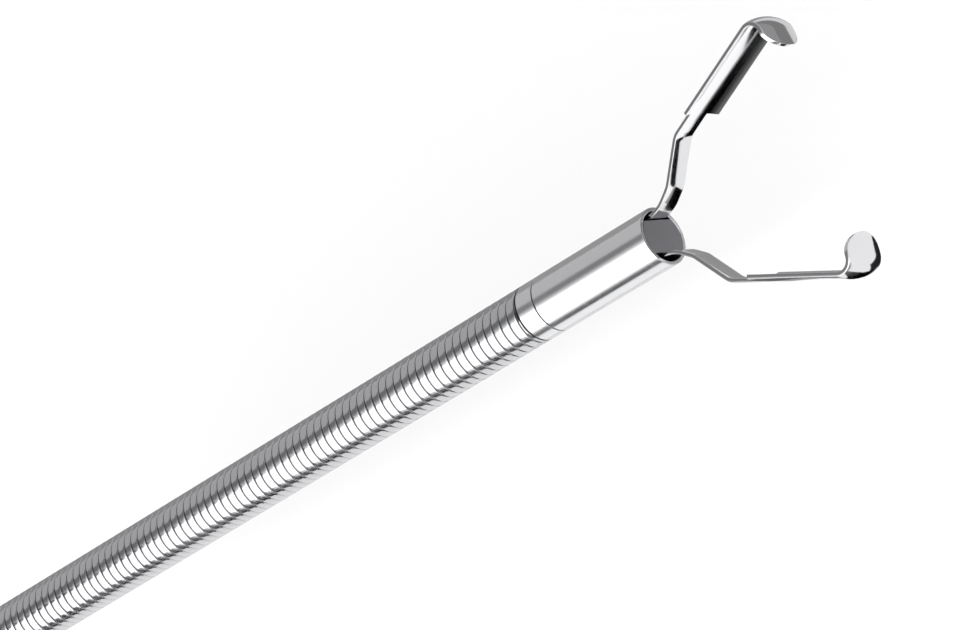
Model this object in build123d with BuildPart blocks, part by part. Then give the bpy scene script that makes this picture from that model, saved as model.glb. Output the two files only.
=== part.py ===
"""Working end of a two-jaw endoscopic grasping forceps, in millimetres.

+X points out of the mouth, the jaws open in the XY plane, +Z is up, and the origin is the middle
of the sleeve's mouth. A pull wire runs through a close-wound sheath to a connector in the sleeve,
and carries two sprung jaws there. Drawing the wire back brings the jaws together.
"""

import os
from math import atan2, cos, degrees, pi, sin, sqrt, tan

from build123d import *

# Sheath, wound from round spring wire. Its turns are drawn a little coarser than they are wound
sheath_radius = 1.2
sheath_length = 36.7
winding_wire = 0.45
ridges = 62
ridge_height = 0.05

# Sleeve on the sheath's end, and the collar that joins the two
sleeve_length = 6.2
sleeve_wall = 0.15
collar_band = 0.96
collar_front_spigot = 1.2
collar_rear_spigot = 1.5
notch_length = 0.45
notch_width = 1.3

# Guide that closes the mouth but for a gap on each side, one for each jaw. Its height and the
# strip's width at the shank are shares of the sleeve's bore, so that the legs' corners clear it
guide_length = 1.8
guide_share = 0.63
shank_share = 0.44

# Pull wire, which the collar's spigots close on, and the connector that the wire ends in
spigot_wall = 0.2
wire_tail = 3.0
wire_seat = 0.8
connector_length = 1.6
connector_stop_gap = 0.2
rivet_radius = 0.2
rivet_head_radius = 0.3
rivet_head_height = 0.06
rivet_setback = 0.5

# Jaw strip: its section, and the middle line of the left jaw from the connector to the tip
strip_thickness = 0.15
strip_slot_gap = 0.04
gutter_radius = 2.5
jaw_half_width = 0.96
root_corner_x = 0.45
crank_start = (1.33, 1.45)
crank_end = (2.545, 3.017)
jaw_angle = 22.84
shoulder_x = 3.66
hook_corner_x = 8.45
hook_turn = 105.0
hook_shank = 1.0
nail_length = 0.75
root_bend_radius = 1.6
crank_bend_radius = 0.8
hook_bend_radius = 0.7

# Hinge that stands for the strip's springy root, and the gap that it needs on each side
hinge_x = 0.35
leg_end_gap = 0.02
jaw_end_gap = 0.05

# Clearances
joint_gap = 0.02
slide_gap = 0.06
wire_gap = 0.08
seam_gap = 0.02
edge_break = 0.05

# Sizes that follow
sleeve_bore = sheath_radius - sleeve_wall
sheath_bore = sheath_radius - winding_wire
spigot_radius = sheath_bore - joint_gap
collar_bore = spigot_radius - spigot_wall
wire_radius = collar_bore - wire_gap
collar_front_x = -sleeve_length - seam_gap
collar_rear_x = collar_front_x - collar_band
sheath_front_x = collar_rear_x - seam_gap
sheath_rear_x = sheath_front_x - sheath_length
connector_front_x = -guide_length - connector_stop_gap
connector_rear_x = connector_front_x - connector_length
rivet_x = connector_front_x - rivet_setback
guide_half_height = guide_share * sleeve_bore
shank_half_width = shank_share * sleeve_bore
leg_inner_y = guide_half_height + strip_slot_gap
leg_middle_y = leg_inner_y + strip_thickness / 2
leg_outer_y = leg_inner_y + strip_thickness
leg_rear_x = connector_rear_x + strip_thickness


def turned(profile):
    """Turns a closed outline of (x, radius) points about the long axis."""
    with BuildPart() as piece:
        with BuildSketch(Plane.XY):
            with BuildLine():
                Polyline(*profile, close=True)
            make_face()
        revolve(axis=Axis.X)
    return piece.part


def finish(piece, label):
    piece.label = label
    export_step(piece, f"parts/{label}.step")
    print(f"{label}: {piece.volume:.3f} mm3")


# Middle line of the left jaw's strip, seen from above
def along_jaw(x):
    """Point of the jaw's straight run at x."""
    return (x, crank_end[1] + (x - crank_end[0]) * tan(jaw_angle * pi / 180))


hook_corner = along_jaw(hook_corner_x)
hook_heading = (jaw_angle - hook_turn) * pi / 180
hook_length = hook_shank + nail_length
hook_tip = (
    hook_corner[0] + hook_length * cos(hook_heading),
    hook_corner[1] + hook_length * sin(hook_heading),
)
leg_start = (leg_rear_x, leg_middle_y)
root_corner = (root_corner_x, leg_middle_y)
strip_corners = [leg_start, root_corner, crank_start, crank_end, hook_corner, hook_tip]
strip_radii = [root_bend_radius, crank_bend_radius, crank_bend_radius, hook_bend_radius]

# The hinge lies on the root bend, where the strip leaves the sleeve
root_angle = atan2(crank_start[1] - leg_middle_y, crank_start[0] - root_corner_x)
root_bend_start_x = root_corner_x - root_bend_radius * tan(root_angle / 2)
hinge_sine = (hinge_x - root_bend_start_x) / root_bend_radius
hinge_angle = atan2(hinge_sine, sqrt(1 - hinge_sine**2))
hinge_y = leg_middle_y + root_bend_radius * (1 - cos(hinge_angle))
hinge_plane = Plane(
    origin=(hinge_x, hinge_y, 0),
    x_dir=(0, 0, -1),
    z_dir=(cos(hinge_angle), sin(hinge_angle), 0),
)
strip_start = Plane(origin=(*leg_start, 0), x_dir=(0, 0, -1), z_dir=(1, 0, 0))


def swept_strip(half_width, curved):
    """Strip of one width along the whole middle line, hollow towards the other jaw if curved."""
    with BuildPart() as strip:
        with BuildLine() as middle:
            FilletPolyline(*strip_corners, radius=strip_radii)
        with BuildSketch(strip_start):
            if curved:
                with Locations((0, -gutter_radius)):
                    Circle(gutter_radius + strip_thickness / 2)
                    Circle(gutter_radius - strip_thickness / 2, mode=Mode.SUBTRACT)
                Rectangle(2 * half_width, gutter_radius, mode=Mode.INTERSECT)
            else:
                Rectangle(2 * half_width, strip_thickness)
        sweep(path=middle.wires()[0])
    return strip.part


def sheath_outline():
    """Outline of the close-wound sheath, a row of ridges over a plain bore."""
    root_radius = sheath_radius - ridge_height
    pitch = sheath_length / ridges
    points = [(sheath_front_x, sheath_bore), (sheath_front_x, root_radius)]
    for ridge in range(ridges):
        front = sheath_front_x - ridge * pitch
        points.append((front - pitch / 2, sheath_radius))
        points.append((front - pitch, root_radius))
    points.append((sheath_rear_x, sheath_bore))
    return points


os.makedirs("parts", exist_ok=True)

finish(turned(sheath_outline()), "coil_sheath")

# Collar: a band flush with the sheath, with a spigot into each neighbour and a bore for the wire
collar_outline = [
    (collar_front_x + collar_front_spigot, collar_bore),
    (collar_front_x + collar_front_spigot, sleeve_bore - joint_gap),
    (collar_front_x, sleeve_bore - joint_gap),
    (collar_front_x, sheath_radius - edge_break),
    (collar_front_x - edge_break, sheath_radius),
    (collar_rear_x, sheath_radius),
    (collar_rear_x, spigot_radius),
    (collar_rear_x - collar_rear_spigot, spigot_radius),
    (collar_rear_x - collar_rear_spigot, collar_bore),
]
finish(turned(collar_outline), "coupling_collar")

# Sleeve: a thin tube, its rim notched above each jaw
sleeve_outline = [
    (0, sleeve_bore),
    (0, sheath_radius - edge_break),
    (-edge_break, sheath_radius),
    (-sleeve_length, sheath_radius),
    (-sleeve_length, sleeve_bore),
]
with BuildPart() as distal_sleeve:
    add(turned(sleeve_outline))
    with Locations((-notch_length / 2, 0, 0)):
        Box(notch_length, 3 * sheath_radius, notch_width, mode=Mode.SUBTRACT)
finish(distal_sleeve.part, "distal_sleeve")

# Guide: a round plug with a flat on each side, flush with the mouth
with BuildPart() as end_guide:
    with BuildSketch(Plane.YZ):
        Circle(sleeve_bore - joint_gap)
        Rectangle(2 * guide_half_height, 2 * sheath_radius, mode=Mode.INTERSECT)
    extrude(amount=-guide_length)
finish(end_guide.part, "end_guide")

# Pull wire, from its seat in the connector to its tail behind the sheath
wire_front_x = connector_rear_x + wire_seat
wire_rear_x = sheath_rear_x - wire_tail
with BuildPart() as pull_wire:
    with BuildSketch(Plane.YZ.offset(wire_rear_x)):
        Circle(wire_radius)
    extrude(amount=wire_front_x - wire_rear_x)
finish(pull_wire.part, "pull_wire")

# Connector: a block with flats for the two legs, bored for the wire and cross-drilled for the rivet
with BuildPart() as leg_connector:
    with BuildSketch(Plane.YZ.offset(connector_front_x)):
        Circle(sleeve_bore - slide_gap)
        Rectangle(2 * leg_inner_y, 2 * sheath_radius, mode=Mode.INTERSECT)
    extrude(amount=-connector_length)
    with BuildSketch(Plane.YZ.offset(connector_rear_x)):
        Circle(wire_radius + joint_gap)
    extrude(amount=wire_seat + joint_gap, mode=Mode.SUBTRACT)
    with BuildSketch(Plane.XZ.offset(-leg_inner_y)):
        with Locations((rivet_x, 0)):
            Circle(rivet_radius)
    extrude(amount=2 * leg_inner_y, mode=Mode.SUBTRACT)
finish(leg_connector.part, "leg_connector")

# Rivet through both legs and the connector, with a low domed head on each side
with BuildPart() as leg_rivet:
    with BuildSketch(Plane.XZ.offset(-leg_outer_y)):
        with Locations((rivet_x, 0)):
            Circle(rivet_radius)
    extrude(amount=2 * leg_outer_y)
    for side in (1, -1):
        with BuildSketch(Plane.XZ.offset(side * leg_outer_y)):
            with Locations((rivet_x, 0)):
                Circle(rivet_head_radius)
        extrude(amount=side * rivet_head_height, taper=30)
finish(leg_rivet.part, "leg_rivet")

# Leg: the flat part of the strip inside the sleeve, ending at the hinge
with BuildPart() as leg_left:
    add(swept_strip(shank_half_width, curved=False))
    split(bisect_by=hinge_plane.offset(-leg_end_gap), keep=Keep.BOTTOM)
    with BuildSketch(Plane.XZ):
        with Locations((rivet_x, 0)):
            Circle(rivet_radius)
    extrude(amount=-sheath_radius, mode=Mode.SUBTRACT)
finish(leg_left.part, "leg_left")

# Jaw: the cranked arm, its broad hollow blade and the hooked nail with a round end
nail_plane = Plane(
    origin=(*hook_tip, 0),
    x_dir=(0, 0, 1),
    z_dir=(-sin(hook_heading), cos(hook_heading), 0),
)
with BuildPart() as jaw_left:
    add(swept_strip(jaw_half_width, curved=True))
    split(bisect_by=hinge_plane.offset(jaw_end_gap), keep=Keep.TOP)
    side_cut = jaw_half_width
    for side in (1, -1):
        with Locations((0, crank_end[1], side * (shank_half_width + side_cut / 2))):
            Box(2 * shoulder_x, 3 * crank_end[1], side_cut, mode=Mode.SUBTRACT)
    with BuildSketch(nail_plane):
        with Locations((0, nail_length / 2)):
            Rectangle(2.2 * jaw_half_width, nail_length)
        with Locations((0, nail_length)):
            Ellipse(jaw_half_width, nail_length, mode=Mode.SUBTRACT)
    extrude(amount=strip_thickness * 3, both=True, mode=Mode.SUBTRACT)
finish(jaw_left.part, "jaw_left")

# The right arm is the left one mirrored
finish(mirror(leg_left.part, about=Plane.XZ), "leg_right")
finish(mirror(jaw_left.part, about=Plane.XZ), "jaw_right")

print(f"hinge at x {hinge_x:.4f}, y {hinge_y:.4f}, strip heading {degrees(hinge_angle):.2f} degrees")
print(f"hook tip at x {hook_tip[0]:.4f}, y {hook_tip[1]:.4f}")
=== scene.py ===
"""Looks for the working end of endoscopic grasping forceps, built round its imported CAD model."""

from math import atan2, cos, hypot, pi, radians, sin, sqrt, tan

import bpy
from mathutils import Matrix, Vector


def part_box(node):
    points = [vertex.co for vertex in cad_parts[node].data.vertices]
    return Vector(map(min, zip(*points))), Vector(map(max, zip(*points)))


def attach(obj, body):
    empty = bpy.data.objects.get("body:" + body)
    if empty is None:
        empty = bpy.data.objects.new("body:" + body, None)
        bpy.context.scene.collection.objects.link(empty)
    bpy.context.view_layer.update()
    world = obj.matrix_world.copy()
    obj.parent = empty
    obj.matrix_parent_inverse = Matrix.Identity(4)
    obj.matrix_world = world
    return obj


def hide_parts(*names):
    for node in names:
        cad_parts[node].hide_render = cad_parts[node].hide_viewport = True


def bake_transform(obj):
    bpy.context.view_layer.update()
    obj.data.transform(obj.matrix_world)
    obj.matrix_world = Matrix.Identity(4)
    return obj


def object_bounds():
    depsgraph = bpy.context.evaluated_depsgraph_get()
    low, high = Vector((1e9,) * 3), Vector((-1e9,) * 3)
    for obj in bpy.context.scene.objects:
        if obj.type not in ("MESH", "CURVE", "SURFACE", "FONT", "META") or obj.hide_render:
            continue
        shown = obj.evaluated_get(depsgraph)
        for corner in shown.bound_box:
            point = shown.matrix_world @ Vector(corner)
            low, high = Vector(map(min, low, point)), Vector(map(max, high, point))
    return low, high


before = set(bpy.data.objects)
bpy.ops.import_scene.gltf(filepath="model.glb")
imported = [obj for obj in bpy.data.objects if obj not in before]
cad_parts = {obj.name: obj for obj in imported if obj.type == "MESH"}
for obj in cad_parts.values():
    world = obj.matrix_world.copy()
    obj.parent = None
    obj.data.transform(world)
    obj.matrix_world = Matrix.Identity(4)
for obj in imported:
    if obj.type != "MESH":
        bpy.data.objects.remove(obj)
cad_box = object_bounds()

MM = 0.001
LONG_AXIS = Vector((1, 0, 0))

# Photograph: its size in pixels, and the camera as fitted to the barrel, the mouth and both jaws
IMAGE_WIDTH = 980
IMAGE_HEIGHT = 630
FOCAL_PIXELS = 4488
SENSOR_MM = 36
MOUTH_PIXEL = (663.2, 235.9)
MOUTH_DISTANCE = 170.2 * MM
CAMERA_RIGHT = Vector((0.6578, -0.3334, -0.6753))
CAMERA_UP = Vector((0.4025, 0.9135, -0.0590))
CAMERA_BACK = Vector((0.6366, -0.2330, 0.7351))
CLIP_START = 0.005
CLIP_END = 10

# Steel: its gloss varies in patches of this size, and its two noises multiply to this range
GLOSS_PATCH = 3.0 * MM
NOISE_LOW = 0.1
NOISE_HIGH = 0.4

# Rounded edges: flat facets in each quarter turn
EDGE_FACETS = 4
RIM_FACETS = 5
BAND_FACETS = 6

# Sheath wire, in millimetres: spring wire rolled a little flat on the outside, close wound
WIRE_PITCH = 0.453
WIRE_HALF_WIDTH = 0.209
WIRE_DEPTH = 0.45
WIRE_CROWN_RADIUS = 6.0
WIRE_CORNER = 0.055
CROWN_SHARES = (-1, -0.66, -0.33, 0, 0.33, 0.66, 1)
STEPS_PER_TURN = 60

# Sleeve and collar, in metres. Extra rings of points beside a rim keep the shading flat there
ROUND_STEPS = 192
SLEEVE_WALL = 0.15 * MM
RIM_RADIUS = 0.025 * MM
RIM_TO_FACE_RING = 1.6 * RIM_RADIUS
RIM_TO_WALL_RING = 3 * RIM_RADIUS
COLLAR_EDGE = 0.02 * MM
COLLAR_SEAM = 0.06 * MM
FRONT_SPIGOT = 1.03 * MM
REAR_SPIGOT = 0.73 * MM
COLLAR_BORE = 0.53 * MM

# Jaw strip, in millimetres, bent from one flat: its middle line lies in the XY plane. Its soft
# edge takes EDGE_SHARE of the half width at most, where the nail narrows, and NEARLY_FLAT keeps
# the hollow's radius finite where the strip is flat
STRIP_LINE = (
    (-3.45, 0.7765),
    (0.45, 0.7765),
    (1.33, 1.45),
    (2.545, 3.017),
    (8.45, 5.504),
    (8.6887, 3.7704),
)
STRIP_BENDS = (1.6, 0.8, 0.8, 0.7)
STRIP_STEP = 0.09
STEPS_MORE_IN_BENDS = 1.5
STRIP_THICKNESS = 0.15
STRIP_EDGE = 0.018
EDGE_SHARE = 0.45
FLAT_SHARES = (-1, -0.97, -0.88, -0.75, -0.6, -0.4, -0.2, 0, 0.2, 0.4, 0.6, 0.75, 0.88, 0.97, 1)
SHANK_HALF_WIDTH = 0.462
BLADE_HALF_WIDTH = 0.96
GUTTER_RADIUS = 2.5
GUTTER_START_X = 0.1
GUTTER_FULL_X = 1.4
NEARLY_FLAT = 0.001
SHOULDER_X = 3.66
SHOULDER_ROUND = 0.1
SHOULDER_STEPS = 10
NAIL_LENGTH = 0.75
NAIL_STEPS = 24
NAIL_CUT = 0.0015

# Studio, in metres: a brightness of 1 is white to the camera. FLOOR_LIFT is what the floor is
# brighter by where it is looked at, and from FADE_START to FADE_END it fades into plain white
FLOOR_DROP = 12 * MM
FLOOR_HALF = 1.5
FLOOR_LIFT = 0.12
FADE_START = 80 * MM
FADE_END = 300 * MM
KEY_BRIGHTNESS = 1.9
ROOM_LIGHT = 0.35
CARD_DISTANCE = 0.55
CARD_HALF_LENGTH = 1.2
BACK_CARD_X = -0.72
BACK_CARD_SIDE = 0.7
BACK_CARD_BRIGHTNESS = 0.1
FIRST_CARD_LEVEL = 0.9 * MM
CARD_STACKING = 0.05 * MM

# Each card stands where the polished steel mirrors it, and gives one band that the photograph
# shows. Hanging cards: two angles about the long axis from straight up towards +Y, brightness
HANGING_CARDS = (
    ("mid_card_above", 4, 12, 0.48),
    ("dark_card_above", 12, 33, 0.24),
    ("grey_card_beside", 33, 89, 0.58),
    ("dark_card_beside", -89.5, -83, 0.04),
)
# Cards on the floor, each a little above the last: ends along X and Y in millimetres, brightness
FLOOR_CARDS = (
    ("grey_card_on_floor", (-700, 5), (5, 900), 0.36),
    ("pale_card_on_floor", (5, 12.5), (8, 900), 0.8),
    ("grey_card_by_tip", (12.5, 24), (8, 900), 0.26),
    ("mid_card_by_tip", (24, 90), (5, 900), 0.36),
    ("dark_card_on_floor", (-700, -10), (-900, -50), 0.05),
    ("edge_card_below_sheath", (-700, -7), (-4.5, 5), 0.85),
    ("edge_card_below_mouth", (-19, -7), (-9, -6), 0.7),
    ("white_card_below_jaws", (-5, 4), (-6.8, 4), 1.3),
    ("grey_card_far_from_jaws", (-10, 60), (-700, -44), 0.36),
    ("grey_card_past_jaws", (-4, 7), (-44, -34), 0.2),
    ("dark_card_past_jaws", (-5, 7), (-34, -26), 0.12),
    ("black_card_past_jaws", (-5, 7), (-26, -18), 0.05),
    ("black_card_below_blades", (-5, 6), (-18, -8.2), 0.0),
    ("mid_card_below_blades", (0, 6), (-8.2, -6.8), 0.4),
    ("black_card_below_crank", (3.8, 6.9), (-6.5, -1.5), 0.0),
    ("dark_card_before_mouth", (8, 14.5), (0.5, 8), 0.15),
)
# Cards close under the lower jaw: ends along X and Y and height in millimetres, brightness
RAISED_CARDS = (
    ("dark_card_under_blade", (-2.2, 0.3), (-7, -3.9), -4, 0.14),
    ("dark_card_along_blade", (0.3, 3), (-7, -5.95), -4, 0.17),
    ("mid_card_under_blade", (0.3, 1.4), (-5.95, -3.9), -4, 0.42),
    ("black_card_under_nail", (7.6, 9.38), (-6.8, -3.7), -3, 0.02),
)


def srgb(code):
    """Linear colour, with alpha, of an sRGB hex value such as #8A8A8C."""
    channels = []
    for at in (1, 3, 5):
        value = int(code[at : at + 2], 16) / 255
        channels.append(value / 12.92 if value <= 0.04045 else ((value + 0.055) / 1.055) ** 2.4)
    return (*channels, 1)


def add_node(tree, kind, settings=None, inputs=None):
    """Adds a node with its settings. An input is a value, or a socket that it is linked from."""
    node = tree.nodes.new(kind)
    for name, value in (settings or {}).items():
        setattr(node, name, value)
    for name, value in (inputs or {}).items():
        if isinstance(value, bpy.types.NodeSocket):
            tree.links.new(value, node.inputs[name])
        else:
            node.inputs[name].default_value = value
    return node


def new_material(name):
    """An empty node material and its tree."""
    material = bpy.data.materials.new(name)
    material.use_nodes = True
    material.node_tree.nodes.clear()
    return material, material.node_tree


def worked_steel(name, colour, roughness, spread, grain, depth):
    """Bare steel with the marks that it was worked with.

    grain is the size of a mark along each axis and depth is how deep it is, in millimetres.
    roughness varies by spread from mark to mark and from patch to patch.
    """
    material, tree = new_material(name)
    place = add_node(tree, "ShaderNodeTexCoord")
    lines = add_node(
        tree,
        "ShaderNodeMapping",
        inputs={
            "Vector": place.outputs["Object"],
            "Scale": [1 / (width * MM) for width in grain],
        },
    )
    marks = add_node(
        tree,
        "ShaderNodeTexNoise",
        inputs={
            "Vector": lines.outputs["Vector"],
            "Scale": 1.0,
            "Detail": 3.0,
            "Roughness": 0.6,
        },
    )
    patches = add_node(
        tree,
        "ShaderNodeTexNoise",
        inputs={
            "Vector": place.outputs["Object"],
            "Scale": 1 / GLOSS_PATCH,
            "Detail": 4.0,
        },
    )
    mixed = add_node(
        tree,
        "ShaderNodeMath",
        {"operation": "MULTIPLY"},
        {0: marks.outputs["Fac"], 1: patches.outputs["Fac"]},
    )
    gloss = add_node(
        tree,
        "ShaderNodeMapRange",
        inputs={
            "Value": mixed.outputs["Value"],
            "From Min": NOISE_LOW,
            "From Max": NOISE_HIGH,
            "To Min": roughness - spread,
            "To Max": roughness + spread,
        },
    )
    relief = add_node(
        tree,
        "ShaderNodeBump",
        inputs={"Strength": 1.0, "Distance": depth * MM, "Height": marks.outputs["Fac"]},
    )
    surface = add_node(
        tree,
        "ShaderNodeBsdfPrincipled",
        inputs={
            "Base Color": srgb(colour),
            "Metallic": 1.0,
            "Roughness": gloss.outputs["Result"],
            "Normal": relief.outputs["Normal"],
        },
    )
    add_node(tree, "ShaderNodeOutputMaterial", inputs={"Surface": surface.outputs["BSDF"]})
    return material


# The real marks are about 0.01 mm wide, which is less than a pixel shows. They are drawn four to
# eight times as coarse, so that they just show.

# Stainless tube, centreless ground and buffed: soft mirror with faint rings round it
buffed_tube_steel = worked_steel(
    "buffed_stainless_tube",
    "#E0E0E2",
    roughness=0.19,
    spread=0.04,
    grain=(0.04, 2.0, 2.0),
    depth=0.0003,
)
# Stainless spring wire, drawn: satin, with draw marks along each turn
drawn_wire_steel = worked_steel(
    "drawn_spring_wire",
    "#C6C6C9",
    roughness=0.13,
    spread=0.04,
    grain=(0.06, 0.6, 0.6),
    depth=0.0006,
)
# Spring steel strip, rolled, pressed and barrel polished: near mirror, faintly hazy
polished_strip_steel = worked_steel(
    "polished_spring_strip",
    "#DCDCDE",
    roughness=0.1,
    spread=0.03,
    grain=(1.5, 1.5, 0.05),
    depth=0.0003,
)
# Stainless plug, ground flat across the mouth: dull and dark, with grinding lines
ground_plug_steel = worked_steel(
    "ground_stainless_plug",
    "#86868A",
    roughness=0.42,
    spread=0.06,
    grain=(1.0, 1.2, 0.05),
    depth=0.0015,
)
# Stainless, milled: satin with fine tool marks
milled_steel = worked_steel(
    "milled_stainless",
    "#B4B4B6",
    roughness=0.3,
    spread=0.06,
    grain=(0.08, 0.5, 0.5),
    depth=0.001,
)


def piece_from(name, points, faces, material):
    """A smooth mesh piece from points in metres."""
    mesh = bpy.data.meshes.new(name)
    mesh.from_pydata(points, [], faces)
    mesh.validate()
    mesh.materials.append(material)
    mesh.shade_smooth()
    piece = bpy.data.objects.new(name, mesh)
    bpy.context.scene.collection.objects.link(piece)
    return piece


def skin(rings, joined):
    """Points and faces of a skin over closed rings, joined into a loop or capped at both ends."""
    count = len(rings[0])
    points = [point for ring in rings for point in ring]
    faces = []
    spans = len(rings) if joined else len(rings) - 1
    for span in range(spans):
        here = span * count
        there = (span + 1) % len(rings) * count
        for side in range(count):
            beside = (side + 1) % count
            faces.append((here + side, here + beside, there + beside, there + side))
    if not joined:
        faces.append(tuple(range(count))[::-1])
        faces.append(tuple(len(points) - count + side for side in range(count)))
    return points, faces


def arc(centre, radius, start, end, steps):
    """Points of an arc between two angles in degrees."""
    found = []
    for step in range(steps + 1):
        angle = radians(start + (end - start) * step / steps)
        found.append((centre[0] + radius * cos(angle), centre[1] + radius * sin(angle)))
    return found


def between(low, high, share):
    """The value that lies a share of the way from low to high."""
    return low + (high - low) * share


def turned(section):
    """Rings of a section, given as places along the long axis and radii, turned about it."""
    rings = []
    for step in range(ROUND_STEPS):
        angle = 2 * pi * step / ROUND_STEPS
        rings.append([(x, r * cos(angle), r * sin(angle)) for x, r in section])
    return rings


def wire_section():
    """Outline of the sheath wire, in millimetres: along the sheath and in from its surface."""
    flat = WIRE_HALF_WIDTH - WIRE_CORNER
    fall = flat * flat / (2 * WIRE_CROWN_RADIUS)
    crown = [(-flat * share, fall * share * share) for share in CROWN_SHARES]
    middle = fall + WIRE_CORNER
    near_corner = arc((-flat, middle), WIRE_CORNER, 270, 180, EDGE_FACETS)[1:]
    far_corner = arc((flat, middle), WIRE_CORNER, 0, -90, EDGE_FACETS)[:-1]
    inner = [(-flat, WIRE_DEPTH), (flat, WIRE_DEPTH)]
    return crown + near_corner + inner + far_corner


def sheath_coil():
    """Close-wound spring wire, with both ends of the coil ground flat."""
    low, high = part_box("coil_sheath")
    section = [(along * MM, inward * MM) for along, inward in wire_section()]
    pitch = WIRE_PITCH * MM
    turns = (high.x - low.x) / pitch + 1
    steps = int(turns * STEPS_PER_TURN)
    rings = []
    for step in range(steps + 1):
        turn = turns * step / steps
        angle = 2 * pi * turn
        middle = high.x + pitch / 2 - pitch * turn
        ring = []
        for along, inward in section:
            x = min(max(middle + along, low.x), high.x)
            ring.append((x, (high.z - inward) * cos(angle), (high.z - inward) * sin(angle)))
        rings.append(ring)
    return piece_from("sheath_coil", *skin(rings, joined=False), drawn_wire_steel)


def polished_sleeve():
    """Thin tube with soft rims."""
    low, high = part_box("distal_sleeve")
    outer = high.z
    inner = outer - SLEEVE_WALL
    rim, facets = RIM_RADIUS, RIM_FACETS
    section = [
        (high.x, outer - RIM_TO_FACE_RING),
        *arc((high.x - rim, outer - rim), rim, 0, 90, facets),
        (high.x - RIM_TO_WALL_RING, outer),
        (low.x + RIM_TO_WALL_RING, outer),
        *arc((low.x + rim, outer - rim), rim, 90, 180, facets),
        *arc((low.x + rim, inner + rim), rim, 180, 270, facets),
        (low.x + RIM_TO_WALL_RING, inner),
        (high.x - RIM_TO_WALL_RING, inner),
        *arc((high.x - rim, inner + rim), rim, 270, 360, facets),
        (high.x, inner + RIM_TO_FACE_RING),
    ]
    return piece_from("polished_sleeve", *skin(turned(section), joined=True), buffed_tube_steel)


def coupling_band():
    """Collar: a soft-edged band between two spigots, with a seam at each side of it."""
    low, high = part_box("coupling_collar")
    outer = high.z
    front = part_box("distal_sleeve")[0].x - COLLAR_SEAM
    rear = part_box("coil_sheath")[1].x + COLLAR_SEAM
    edge, facets = COLLAR_EDGE, BAND_FACETS
    section = [
        (high.x, COLLAR_BORE),
        (high.x, FRONT_SPIGOT - edge),
        (high.x - edge, FRONT_SPIGOT),
        (front + edge, FRONT_SPIGOT),
        (front, FRONT_SPIGOT + edge),
        *arc((front - edge, outer - edge), edge, 0, 90, facets),
        (front - 2 * edge, outer),
        (rear + 2 * edge, outer),
        *arc((rear + edge, outer - edge), edge, 90, 180, facets),
        (rear, REAR_SPIGOT + edge),
        (rear - edge, REAR_SPIGOT),
        (low.x + edge, REAR_SPIGOT),
        (low.x, REAR_SPIGOT - edge),
        (low.x, COLLAR_BORE),
    ]
    return piece_from("coupling_band", *skin(turned(section), joined=True), buffed_tube_steel)


def bent_line():
    """Stations along the strip's middle line: distance, x, y and heading in radians."""
    stations = []
    distance = 0.0
    at = STRIP_LINE[0]
    for number in range(1, len(STRIP_LINE)):
        corner, before = STRIP_LINE[number], STRIP_LINE[number - 1]
        heading = atan2(corner[1] - before[1], corner[0] - before[0])
        last = number == len(STRIP_LINE) - 1
        radius = turn = tangent = 0.0
        if not last:
            after = STRIP_LINE[number + 1]
            radius = STRIP_BENDS[number - 1]
            turn = atan2(after[1] - corner[1], after[0] - corner[0]) - heading
            tangent = radius * tan(abs(turn) / 2)
        run = hypot(corner[0] - at[0], corner[1] - at[1]) - tangent
        steps = max(2, int(run / STRIP_STEP))
        for step in range(steps):
            gone = run * step / steps
            x, y = at[0] + gone * cos(heading), at[1] + gone * sin(heading)
            stations.append((distance + gone, x, y, heading))
        distance += run
        at = (at[0] + run * cos(heading), at[1] + run * sin(heading))
        if last:
            stations.append((distance, *at, heading))
            continue
        side = 1 if turn > 0 else -1
        centre = (at[0] - side * radius * sin(heading), at[1] + side * radius * cos(heading))
        length = radius * abs(turn)
        steps = max(3, int(length / STRIP_STEP * STEPS_MORE_IN_BENDS))
        for step in range(steps):
            now = heading + turn * step / steps
            x = centre[0] + side * radius * sin(now)
            y = centre[1] - side * radius * cos(now)
            stations.append((distance + length * step / steps, x, y, now))
        distance += length
        after_bend = heading + turn
        at = (
            centre[0] + side * radius * sin(after_bend),
            centre[1] - side * radius * cos(after_bend),
        )
    return stations


def station_at(line, distance):
    """The station at a distance along the middle line."""
    for first, second in zip(line, line[1:]):
        if first[0] <= distance <= second[0]:
            share = (distance - first[0]) / (second[0] - first[0])
            return tuple(between(a, b, share) for a, b in zip(first, second))
    return line[-1] if distance > line[-1][0] else line[0]


def distance_to(line, x):
    """Distance along the middle line at which it first reaches x."""
    for first, second in zip(line, line[1:]):
        if first[1] < x <= second[1]:
            return between(first[0], second[0], (x - first[1]) / (second[1] - first[1]))
    return line[-1][0]


def strip_half_width(distance, shoulder, end):
    """Half the strip's width: narrow shank, square shoulder, broad blade and half-round nail."""
    share = min(max((distance - shoulder) / SHOULDER_ROUND, 0), 1)
    width = between(SHANK_HALF_WIDTH, BLADE_HALF_WIDTH, 0.5 - 0.5 * cos(share * pi))
    into_nail = (distance - (end - NAIL_LENGTH)) / NAIL_LENGTH
    if into_nail > 0:
        width *= sqrt(max(1 - into_nail**2, 0))
    return width


def strip_section(half_width):
    """Outline of the strip's section, as places across it and through it, with soft edges."""
    half = STRIP_THICKNESS / 2
    edge = min(STRIP_EDGE, half_width * EDGE_SHARE)
    flat = half_width - edge
    rise = half - edge
    outside = [(flat * share, half) for share in FLAT_SHARES]
    inside = [(-flat * share, -half) for share in FLAT_SHARES]
    upper_right = arc((flat, rise), edge, 90, 0, EDGE_FACETS)[1:]
    lower_right = arc((flat, -rise), edge, 0, -90, EDGE_FACETS)[:-1]
    lower_left = arc((-flat, -rise), edge, -90, -180, EDGE_FACETS)[1:]
    upper_left = arc((-flat, rise), edge, 180, 90, EDGE_FACETS)[:-1]
    return outside + upper_right + lower_right + inside + lower_left + upper_left


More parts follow.
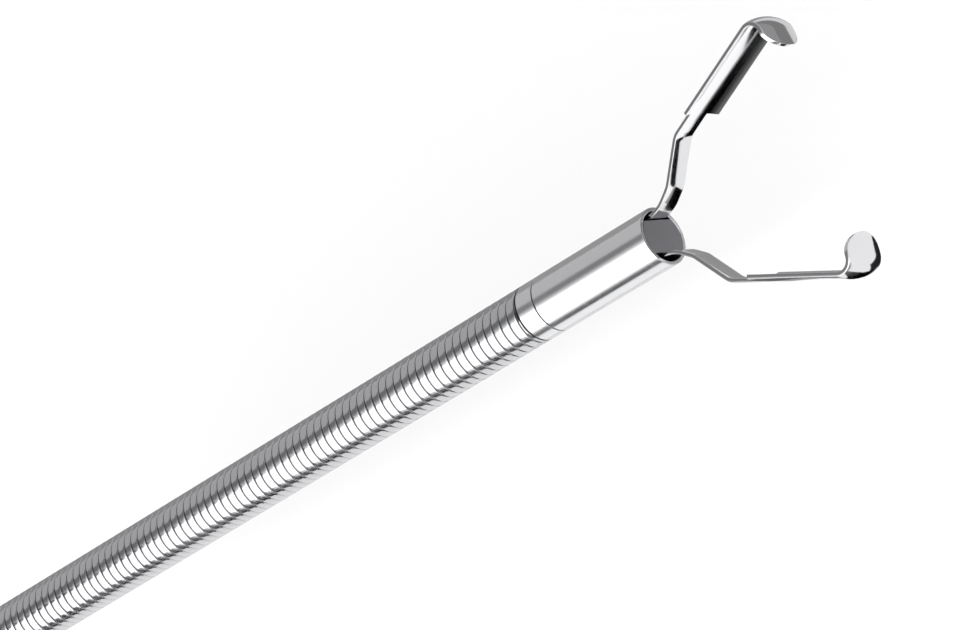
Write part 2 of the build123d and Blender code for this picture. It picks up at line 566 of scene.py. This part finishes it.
def jaw_strip(name, side):
    """One arm: flat leg, crank, broad hollow blade and hooked nail, bent from one strip."""
    line = bent_line()
    end = line[-1][0]
    nail = end - NAIL_LENGTH
    shoulder = distance_to(line, SHOULDER_X) - SHOULDER_ROUND / 2
    distances = [row[0] for row in line if row[0] < nail]
    for step in range(SHOULDER_STEPS + 1):
        distances.append(shoulder + SHOULDER_ROUND * step / SHOULDER_STEPS)
    for step in range(NAIL_STEPS):
        distances.append(nail + NAIL_LENGTH * sin(step * pi / (2 * NAIL_STEPS)))
    distances.append(end - NAIL_CUT)
    rings = []
    for distance in sorted(set(distances)):
        _, x, y, heading = station_at(line, distance)
        share = min(max((x - GUTTER_START_X) / (GUTTER_FULL_X - GUTTER_START_X), 0), 1)
        hollow = share * share * (3 - 2 * share)
        radius = GUTTER_RADIUS / max(hollow, NEARLY_FLAT)
        ring = []
        for across, through in strip_section(strip_half_width(distance, shoulder, end)):
            proud = sqrt((radius + through) ** 2 - across**2) - radius
            point = (x - proud * sin(heading), (y + proud * cos(heading)) * side, across)
            ring.append(tuple(value * MM for value in point))
        rings.append(ring)
    points, faces = skin(rings, joined=False)
    if side > 0:
        faces = [face[::-1] for face in faces]
    return piece_from(name, points, faces, polished_strip_steel)


def about_axis(angle):
    """Direction square to the long axis, at an angle from straight up towards +Y."""
    return Vector((0, sin(radians(angle)), cos(radians(angle))))


def studio_card(name, corners, brightness):
    """A plain card by the object, for the steel to mirror. The camera doesn't see it."""
    material, tree = new_material(name)
    glow = add_node(
        tree, "ShaderNodeEmission", inputs={"Color": (1, 1, 1, 1), "Strength": brightness}
    )
    add_node(tree, "ShaderNodeOutputMaterial", inputs={"Surface": glow.outputs["Emission"]})
    card = piece_from(name, corners, [tuple(range(len(corners)))], material)
    card.visible_camera = False
    card.visible_diffuse = False
    card.visible_shadow = False


def hanging_card(name, low_angle, high_angle, brightness):
    """A card along the object, between two angles about the long axis."""
    reach = CARD_HALF_LENGTH
    corners = []
    for angle, ends in ((low_angle, (-reach, reach)), (high_angle, (reach, -reach))):
        away = about_axis(angle) * CARD_DISTANCE
        corners += [(end, away.y, away.z) for end in ends]
    studio_card(name, corners, brightness)


def flat_card(name, x_ends, y_ends, level, brightness):
    """A level card, between two places along X and two along Y in millimetres."""
    (x0, x1), (y0, y1) = x_ends, y_ends
    corners = [(x * MM, y * MM, level) for x, y in ((x0, y0), (x1, y0), (x1, y1), (x0, y1))]
    studio_card(name, corners, brightness)


def seen_directly(tree):
    """1 where the camera, gloss or glass looks at a surface, and 0 where it lights the object."""
    rays = add_node(tree, "ShaderNodeLightPath")
    mirrored = add_node(
        tree,
        "ShaderNodeMath",
        {"operation": "MAXIMUM"},
        {0: rays.outputs["Is Glossy Ray"], 1: rays.outputs["Is Transmission Ray"]},
    )
    seen = add_node(
        tree,
        "ShaderNodeMath",
        {"operation": "MAXIMUM"},
        {0: rays.outputs["Is Camera Ray"], 1: mirrored.outputs["Value"]},
    )
    return seen.outputs["Value"]


def white_floor(level):
    """Matt white paper that takes a shadow round the object and fades into plain white far off."""
    material, tree = new_material("matt_white_paper")
    seen = seen_directly(tree)
    paper = add_node(tree, "ShaderNodeBsdfDiffuse", inputs={"Color": srgb("#F2F2F2")})
    lift = add_node(tree, "ShaderNodeMath", {"operation": "MULTIPLY"}, {0: seen, 1: FLOOR_LIFT})
    glow = add_node(tree, "ShaderNodeEmission", inputs={"Strength": lift.outputs["Value"]})
    near = add_node(
        tree,
        "ShaderNodeAddShader",
        inputs={0: paper.outputs["BSDF"], 1: glow.outputs["Emission"]},
    )
    far = add_node(tree, "ShaderNodeEmission", inputs={"Strength": seen})
    place = add_node(tree, "ShaderNodeTexCoord")
    away = add_node(
        tree, "ShaderNodeVectorMath", {"operation": "LENGTH"}, {0: place.outputs["Object"]}
    )
    fade = add_node(
        tree,
        "ShaderNodeMapRange",
        {"interpolation_type": "SMOOTHSTEP"},
        {"Value": away.outputs["Value"], "From Min": FADE_START, "From Max": FADE_END},
    )
    both = add_node(
        tree,
        "ShaderNodeMixShader",
        inputs={0: fade.outputs["Result"], 1: near.outputs["Shader"], 2: far.outputs["Emission"]},
    )
    add_node(tree, "ShaderNodeOutputMaterial", inputs={"Surface": both.outputs["Shader"]})
    half = FLOOR_HALF
    corners = ((-half, -half), (half, -half), (half, half), (-half, half))
    points = [(x, y, level) for x, y in corners]
    floor = piece_from("paper_floor", points, [(0, 1, 2, 3)], material)


def white_room():
    """World that lights the object evenly, and is plain white where it is looked at."""
    world = bpy.data.worlds.new("white_room")
    bpy.context.scene.world = world
    world.use_nodes = True
    tree = world.node_tree
    tree.nodes.clear()
    strength = add_node(
        tree,
        "ShaderNodeMapRange",
        inputs={"Value": seen_directly(tree), "To Min": ROOM_LIGHT, "To Max": 1.0},
    )
    room = add_node(
        tree,
        "ShaderNodeBackground",
        inputs={"Color": (1, 1, 1, 1), "Strength": strength.outputs["Result"]},
    )
    add_node(tree, "ShaderNodeOutputWorld", inputs={"Surface": room.outputs["Background"]})


def soft_box(name, angle, distance, along, size, brightness):
    """An area lamp that faces the long axis, at an angle about it and a place along it.

    Its power follows from its brightness and its size.
    """
    lamp = bpy.data.lights.new(name, "AREA")
    lamp.shape = "RECTANGLE"
    lamp.size, lamp.size_y = size
    lamp.energy = brightness * pi * size[0] * size[1]
    holder = bpy.data.objects.new(name, lamp)
    away = about_axis(angle)
    turn = Matrix((LONG_AXIS, away.cross(LONG_AXIS), away)).transposed().to_4x4()
    holder.matrix_world = Matrix.Translation(away * distance + LONG_AXIS * along) @ turn
    bpy.context.scene.collection.objects.link(holder)


def photograph_camera():
    """Camera at the photograph's angle, with the mouth at the same place in the picture."""
    lens = bpy.data.cameras.new("photograph_camera")
    lens.sensor_width = SENSOR_MM
    lens.lens = FOCAL_PIXELS * SENSOR_MM / IMAGE_WIDTH
    lens.clip_start, lens.clip_end = CLIP_START, CLIP_END
    camera = bpy.data.objects.new("photograph_camera", lens)
    aside = (MOUTH_PIXEL[0] - IMAGE_WIDTH / 2) / FOCAL_PIXELS * MOUTH_DISTANCE
    above = (IMAGE_HEIGHT / 2 - MOUTH_PIXEL[1]) / FOCAL_PIXELS * MOUTH_DISTANCE
    place = -(CAMERA_RIGHT * aside + CAMERA_UP * above - CAMERA_BACK * MOUTH_DISTANCE)
    turn = Matrix((CAMERA_RIGHT, CAMERA_UP, CAMERA_BACK)).transposed().to_4x4()
    camera.matrix_world = Matrix.Translation(place) @ turn
    bpy.context.scene.collection.objects.link(camera)
    bpy.context.scene.camera = camera


# Pieces that stand for CAD nodes
coil = sheath_coil()
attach(coil, "root")
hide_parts("coil_sheath")

sleeve = polished_sleeve()
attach(sleeve, "root")
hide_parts("distal_sleeve")

band = coupling_band()
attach(band, "root")
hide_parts("coupling_collar")

for side, hand in ((1, "left"), (-1, "right")):
    strip = jaw_strip(f"jaw_strip_{hand}", side)
    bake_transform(strip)
    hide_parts(f"leg_{hand}", f"jaw_{hand}")

# CAD nodes whose shape is right, which only get a better material
for node, material in (
    ("end_guide", ground_plug_steel),
    ("pull_wire", drawn_wire_steel),
    ("leg_connector", milled_steel),
    ("leg_rivet", milled_steel),
):
    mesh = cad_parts[node].data
    mesh.materials.clear()
    mesh.materials.append(material)

# Studio
floor_level = cad_box[0][2] - FLOOR_DROP
white_floor(floor_level)
white_room()
soft_box(
    "key_soft_box",
    angle=-38.5,
    distance=0.5,
    along=-0.2,
    size=(1.6, 0.66),
    brightness=KEY_BRIGHTNESS,
)
for name, low_angle, high_angle, brightness in HANGING_CARDS:
    hanging_card(name, low_angle, high_angle, brightness)
studio_card(
    "dark_card_behind",
    [
        (BACK_CARD_X, -BACK_CARD_SIDE, 0),
        (BACK_CARD_X, BACK_CARD_SIDE, 0),
        (BACK_CARD_X, BACK_CARD_SIDE, BACK_CARD_SIDE),
        (BACK_CARD_X, -BACK_CARD_SIDE, BACK_CARD_SIDE),
    ],
    BACK_CARD_BRIGHTNESS,
)
for number, (name, x_ends, y_ends, brightness) in enumerate(FLOOR_CARDS):
    level = floor_level + FIRST_CARD_LEVEL + CARD_STACKING * number
    flat_card(name, x_ends, y_ends, level, brightness)
for name, x_ends, y_ends, height, brightness in RAISED_CARDS:
    flat_card(name, x_ends, y_ends, height * MM, brightness)

photograph_camera()
bpy.context.scene.view_settings.view_transform = "Standard"
